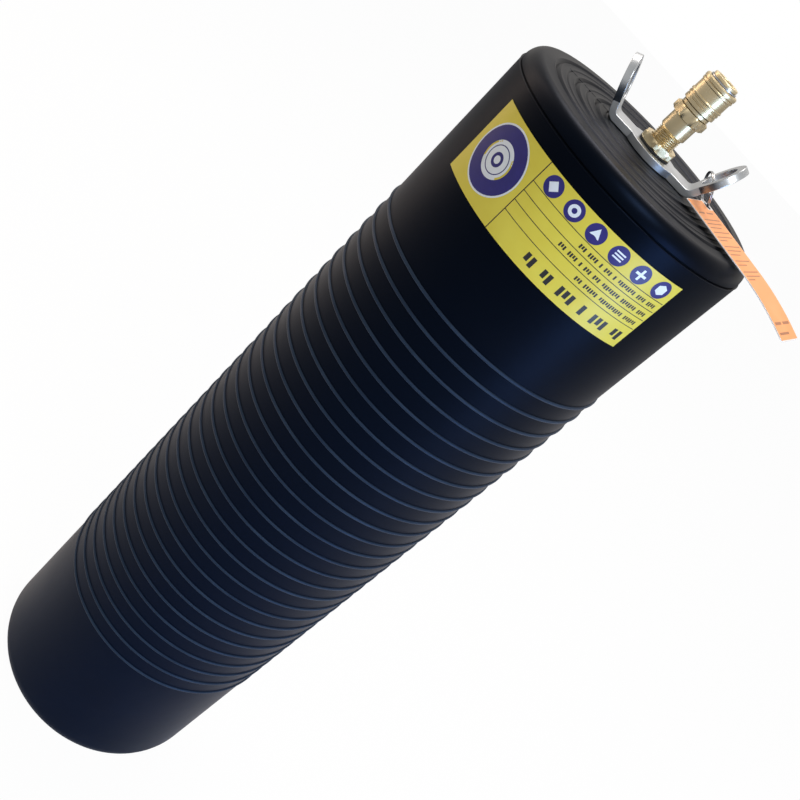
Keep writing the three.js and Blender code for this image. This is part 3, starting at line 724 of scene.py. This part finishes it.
# Zinc-plated steel: cool blue grey, half bright, with cloudy plating and small handling marks.
zinc, tree, shader = new_material("zinc_plated_steel")
place = add(tree, "ShaderNodeTexCoord").outputs["Object"]
cloudy = add(tree, "ShaderNodeTexNoise", {"Scale": 70, "Detail": 5}, {"Vector": place})
tone = add(tree, "ShaderNodeMix", {"data_type": "RGBA", 6: srgb("#9ba1a7"), 7: srgb("#c3c8cd")},
           {0: cloudy.outputs["Fac"]})
gloss = add(tree, "ShaderNodeMapRange", {"To Min": 0.26, "To Max": 0.46}, {"Value": cloudy.outputs["Fac"]})
pits = add(tree, "ShaderNodeTexNoise", {"Scale": 700, "Detail": 2}, {"Vector": place})
uneven = add(tree, "ShaderNodeBump", {"Strength": 0.15, "Distance": 0.0001}, {"Height": pits.outputs["Fac"]})
tree.links.new(tone.outputs[2], shader.inputs["Base Color"])
tree.links.new(gloss.outputs[0], shader.inputs["Roughness"])
tree.links.new(uneven.outputs[0], shader.inputs["Normal"])
shader.inputs["Metallic"].default_value = 1

bracket_mesh = plate_solid("bracket_plate", outlines, PLATE, EDGE_ROUND)
bends = [side * (bend_start + bend_length * i / 10) for i in range(11) for side in (-1, 1)]
bend_plate(bracket_mesh, bends, bend_lug)
bracket_mesh.materials.clear()
bracket_mesh.materials.append(zinc)
bracket = bpy.data.objects.new("bracket_plate", bracket_mesh)
bpy.context.collection.objects.link(bracket)
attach(bracket, "body")
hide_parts("eye_bracket")

# The washer and the locknut. A thin black washer lies on the bracket, and a brass hexagon nut
# with turned-off corners screws down the nipple on to it.
WASHER_LOW = HEAD + 5.1
NUT_LOW = HEAD + 6.2
NUT_HIGH = HEAD + 11.2

# Black seal rubber: soft, matt and slightly dusty.
seal_rubber, tree, shader = new_material("black_seal_rubber")
place = add(tree, "ShaderNodeTexCoord").outputs["Object"]
bloom = add(tree, "ShaderNodeTexNoise", {"Scale": 300, "Detail": 3}, {"Vector": place})
tone = add(tree, "ShaderNodeMix", {"data_type": "RGBA", 6: srgb("#121213"), 7: srgb("#232326")},
           {0: bloom.outputs["Fac"]})
tree.links.new(tone.outputs[2], shader.inputs["Base Color"])
shader.inputs["Roughness"].default_value = 0.62

washer = build("washer_black", [(*revolve([
    (8.6, WASHER_LOW), (11.8, WASHER_LOW), (12, WASHER_LOW + 0.2), (12, WASHER_LOW + 0.6),
    (11.8, WASHER_LOW + 0.8), (8.6, WASHER_LOW + 0.8)], 72, loop=True), 0)], [seal_rubber])
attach(washer, "body")
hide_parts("washer")

nut_shape = hexagon(23, NUT_LOW, NUT_HIGH, -93.5, bore=8.6, both=True)
nut = build("locknut_brass", [(*nut_shape, 0)], [brass], sharp=28)
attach(nut, "body")
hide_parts("locknut")

# The coupling's body. Turned from brass bar and screwed on the nipple's spigot, with four drilled
# holes for the locking balls, a groove for the seal and a groove near its nose for the snap ring.
BODY_LOW = HEAD + 35.9
NOSE = HEAD + 60
BALL_HEIGHT = NOSE - 6.4
coupling = build("coupling_body_brass", [(*revolve([
    (7.3, BODY_LOW), (9.8, BODY_LOW), (10.1, BODY_LOW + 0.3), (10.1, BODY_LOW + 2.1), (9.8, BODY_LOW + 2.4),
    (9, BODY_LOW + 2.4), (9, HEAD + 56.8), (8.2, HEAD + 56.8), (8.2, HEAD + 58.2), (9, HEAD + 58.2),
    (9, NOSE - 0.6), (8.8, NOSE - 0.15), (8.4, NOSE), (6.7, NOSE), (6.3, NOSE - 0.15), (6.1, NOSE - 0.6),
    (6.1, HEAD + 50.8), (7.6, HEAD + 50.8), (7.6, HEAD + 48.8), (6.1, HEAD + 48.8), (6.1, HEAD + 46.5),
    (4.3, HEAD + 46.5), (4.3, HEAD + 44), (7.3, HEAD + 44)], 96, loop=True), 0)], [brass], sharp=28)
drills = []
for number in range(4):
    turn = math.radians(45 + 90 * number)
    points, polygons = revolve([(0, 5), (1.8, 5), (1.8, 10.5), (0, 10.5)], 32)
    across = Matrix.Rotation(turn, 3, "Z") @ Matrix.Rotation(math.pi / 2, 3, "Y")
    drills.append(([tuple(across @ Vector(p) + Vector((0, 0, BALL_HEIGHT))) for p in points], polygons, 0))
drill = build("ball_drill", drills, [brass])
boring = coupling.modifiers.new("bore", "BOOLEAN")
boring.object = drill
boring.operation = "DIFFERENCE"
boring.solver = "EXACT"
drilled = bpy.data.meshes.new_from_object(coupling.evaluated_get(bpy.context.evaluated_depsgraph_get()))
coupling.modifiers.remove(boring)
bpy.data.objects.remove(drill)
coupling.data = drilled
drilled.set_sharp_from_angle(angle=math.radians(28))
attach(coupling, "body")
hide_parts("coupling_body")

# The locking balls, the snap ring and the nose seal. The balls are ground steel, the ring is
# sprung into its groove, and the seal is a rubber ring pressed into the mouth.
for number in range(4):
    turn = math.radians(45 + 90 * number)
    centre = Vector((7.6 * math.cos(turn), 7.6 * math.sin(turn), BALL_HEIGHT))
    points, polygons = revolve(arc((0, 0), (1.5, 1.5), -90, 90, 12), 24)
    placed = [tuple(Vector(p) + centre) for p in points]
    ball = build(f"ball_{number + 1}_steel", [(placed, polygons, 0)], [steel], 60)
    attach(ball, "body")
    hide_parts(f"ball_{number + 1}")
for node, material in (("nose_seal", seal_rubber), ("poppet_seal", seal_rubber),
                       ("sleeve_spring", steel), ("poppet_spring", steel)):
    paint(node, material)
snap_ring = build("snap_ring_steel", [(*revolve([
    (8.5, HEAD + 57.1), (9.8, HEAD + 57.1), (9.8, HEAD + 57.9), (8.5, HEAD + 57.9),
], 72, loop=True), 0)], [steel])
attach(snap_ring, "body")
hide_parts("snap_ring")

# The coupling's sleeve. Turned brass with raised grip rings and a smooth band between them.
# It slides back on the coupling's body against its spring to let the balls out.
SLEEVE_LOW = HEAD + 38.7
SLEEVE_WALL = 11.3
SLEEVE_RINGS = (
    (0.1, 0.15), (0.1, 2.4), (-0.25, 2.6), (-0.25, 3.2), (0.3, 3.4), (0.3, 4.6), (-0.15, 4.8),
    (-0.15, 5.3), (0.4, 5.5), (0.5, 5.7), (0.5, 6.5), (0.4, 6.7), (0, 6.9), (0, 13.2), (0.4, 13.5),
    (0.5, 13.7), (0.5, 14.7),
    (0.4, 14.9), (-0.15, 15.1), (-0.15, 15.3), (0.6, 15.5), (0.7, 15.7), (0.7, 17.3), (0.1, 18),
)
sleeve = build("sleeve_brass", [(*revolve(
    [(10.4, SLEEVE_LOW), (11.2, SLEEVE_LOW)]
    + [(SLEEVE_WALL + proud, SLEEVE_LOW + height) for proud, height in SLEEVE_RINGS]
    + [(11, HEAD + 56.8), (9.6, HEAD + 56.8), (9.3, HEAD + 56.5), (9.3, HEAD + 49), (10.4, HEAD + 49)],
    96, loop=True), 0)], [brass], sharp=24)
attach(sleeve, "sleeve")
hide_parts("coupling_sleeve")

# The valve's poppet. Turned brass, pressed shut by its spring, with its tip in the mouth where
# the hose's plug pushes it open.
POPPET_LOW = HEAD + 40.8
poppet = build("poppet_brass", [(*revolve([
    (0, POPPET_LOW), (4.8, POPPET_LOW), (5, POPPET_LOW + 0.2), (5, HEAD + 42.6), (2.6, HEAD + 42.6),
    (2.6, HEAD + 44), (3.9, HEAD + 44), (3.9, HEAD + 47.6), (3.5, HEAD + 48), (1.6, HEAD + 48),
    (1.4, HEAD + 47.4), (0, HEAD + 47.2)], 48), 0)], [brass])
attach(poppet, "valve")
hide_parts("poppet")

# The split ring. Spring steel wire wound twice round, threaded through the right eye and round
# the eye's side, so that it hangs loose and holds the tag.
WIRE = 0.95
low_corner, high_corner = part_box("split_ring")
ring_centre = (Vector(low_corner) + Vector(high_corner)) / 2 / MM
ring_normal = Vector((-0.76, -0.32, -0.57))
RING_RADIUS = 10.63

# The tag. A thin plastic card punched with a hole near one corner, printed orange with a white
# edge, that lies straight over the head and curls down past the bead.
TAG_CORNER = Vector((33.7, -21.3, HEAD + 3.35))
TAG_LENGTH = 100
TAG_WIDTH = 32
TAG_THICK = 0.6
TAG_FLAT = 54
TAG_DROOP = math.radians(13)
TAG_HOLE = (4, 27.5)
TAG_HOLE_RADIUS = 3
TAG_PLACE = (Matrix.Rotation(math.radians(-19.7), 3, "Z") @ Matrix.Rotation(math.radians(2), 3, "Y")
             @ Matrix.Rotation(math.radians(3), 3, "X"))

steps_round = 96
helix, helix_faces = [], []
ring_axis = ring_normal.normalized()
across_one = ring_normal.orthogonal().normalized()
across_two = ring_axis.cross(across_one)
sides = 8
for step in range(2 * steps_round + 1):
    turn = 2 * math.pi * step / steps_round
    shift = WIRE * (0.5 if step > steps_round else -0.5) * min(1, abs(step - steps_round) / 12)
    outward = across_one * math.cos(turn) + across_two * math.sin(turn)
    middle = ring_centre + outward * RING_RADIUS + ring_axis * shift
    for side_step in range(sides):
        angle = 2 * math.pi * side_step / sides
        offset = outward * math.cos(angle) * WIRE * 0.6 + ring_axis * math.sin(angle) * WIRE * 0.46
        helix.append(tuple(middle + offset))
for step in range(2 * steps_round):
    for side_step in range(sides):
        after = (side_step + 1) % sides
        a, b = step * sides, (step + 1) * sides
        helix_faces.append((a + side_step, b + side_step, b + after, a + after))
helix_faces.append(tuple(range(sides)))
helix_faces.append(tuple(reversed(range(2 * steps_round * sides, (2 * steps_round + 1) * sides))))
split_ring = build("split_ring_wire", [(helix, helix_faces, 0)], [steel], 60)
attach(split_ring, "body")
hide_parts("split_ring")


def on_tag(x, y, z):
    """Places a point of the flat card, in mm, on the curled card."""
    past = max(0.0, x - TAG_FLAT)
    length = TAG_LENGTH - TAG_FLAT
    turn = TAG_DROOP * past / length
    bend = length / TAG_DROOP
    along = min(x, TAG_FLAT) + (bend + z) * math.sin(turn)
    up = (bend + z) * math.cos(turn) - bend
    return tuple(TAG_CORNER + TAG_PLACE @ Vector((along, y, up)))


# Orange printed card: an even warm orange with a soft plastic gloss.
card, tree, shader = new_material("orange_tag_card")
place = add(tree, "ShaderNodeTexCoord").outputs["Object"]
patchy = add(tree, "ShaderNodeTexNoise", {"Scale": 45, "Detail": 4}, {"Vector": place})
tone = add(tree, "ShaderNodeMix", {"data_type": "RGBA", 6: srgb("#ff9a4e"), 7: srgb("#ffb678")},
           {0: patchy.outputs["Fac"]})
tree.links.new(tone.outputs[2], shader.inputs["Base Color"])
shader.inputs["Roughness"].default_value = 0.38
card_white = ink("white_card_edge", "#efe9e2", "#faf7f3")
card_ink = ink("brown_tag_ink", "#a8673f", "#b87a50")

corner_cut = 3
round_end = 3
tag_outline = [(0, 0)]
for corner_y, first_angle in ((round_end, -90), (TAG_WIDTH - round_end, 0)):
    corner = (TAG_LENGTH - round_end, corner_y)
    tag_outline += arc(corner, (round_end, round_end), first_angle, first_angle + 90, 6)
tag_outline += [(corner_cut, TAG_WIDTH), (0, TAG_WIDTH - corner_cut)]
tag_hole = [(TAG_HOLE[0] + TAG_HOLE_RADIUS * math.cos(-2 * math.pi * i / 32),
             TAG_HOLE[1] + TAG_HOLE_RADIUS * math.sin(-2 * math.pi * i / 32)) for i in range(32)]
tag_mesh = plate_solid("tag_card", [tag_outline, tag_hole], TAG_THICK, 0.1)
bend_plate(tag_mesh, [TAG_FLAT + (TAG_LENGTH - TAG_FLAT) * i / 24 for i in range(24)],
           lambda x, y, z: on_tag(x, y, z + TAG_THICK / 2))
tag_mesh.materials.clear()
tag_mesh.materials.append(card_white)
tag = bpy.data.objects.new("tag_card", tag_mesh)
bpy.context.collection.objects.link(tag)
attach(tag, "tag")
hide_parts("tag")


def tag_patch(x0, x1, y0, y1, rise):
    """A printed rectangle on the card, in short columns that follow its curl."""
    columns = max(1, math.ceil((x1 - x0) / 2))
    points = [on_tag(x0 + (x1 - x0) * i / columns, y, TAG_THICK + rise)
              for i in range(columns + 1) for y in (y0, y1)]
    return points, [(2 * i, 2 * i + 2, 2 * i + 3, 2 * i + 1) for i in range(columns)]


BORDER = 0.4
ORANGE, INK = 0, 1
hole_clear = TAG_HOLE[0] + TAG_HOLE_RADIUS + 0.5
prints = [
    (*tag_patch(hole_clear, TAG_LENGTH - BORDER - 0.4, BORDER, TAG_WIDTH - BORDER, 0.03), ORANGE),
    (*tag_patch(BORDER, hole_clear, BORDER, TAG_HOLE[1] - TAG_HOLE_RADIUS - 0.5, 0.03), ORANGE),
]
for share, starts, width in (
    (0.10, ((3, 12), (15, 26)), 1.2),
    (0.155, ((3, 29),), 0.8), (0.185, ((3, 27),), 0.8), (0.215, ((3, 22),), 0.8),
    (0.25, ((3, 29),), 0.8), (0.285, ((3, 28),), 0.8), (0.31, ((3, 16),), 0.8), (0.355, ((3, 29),), 0.8),
    (0.385, ((3, 26),), 0.8), (0.415, ((3, 20),), 0.8), (0.46, ((3, 28),), 0.8), (0.49, ((3, 18),), 0.8),
    (0.54, ((3, 29),), 0.8), (0.57, ((3, 27),), 0.8), (0.595, ((3, 14),), 0.8),
    (0.88, ((3, 14), (17, 29)), 1.8), (0.945, ((3, 20),), 1.5),
):
    for y0, y1 in starts:
        prints.append((*tag_patch(share * TAG_LENGTH, share * TAG_LENGTH + width, y0, y1, 0.06), INK))
tag_print = build("tag_print", prints, [card, card_ink])
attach(tag_print, "tag")
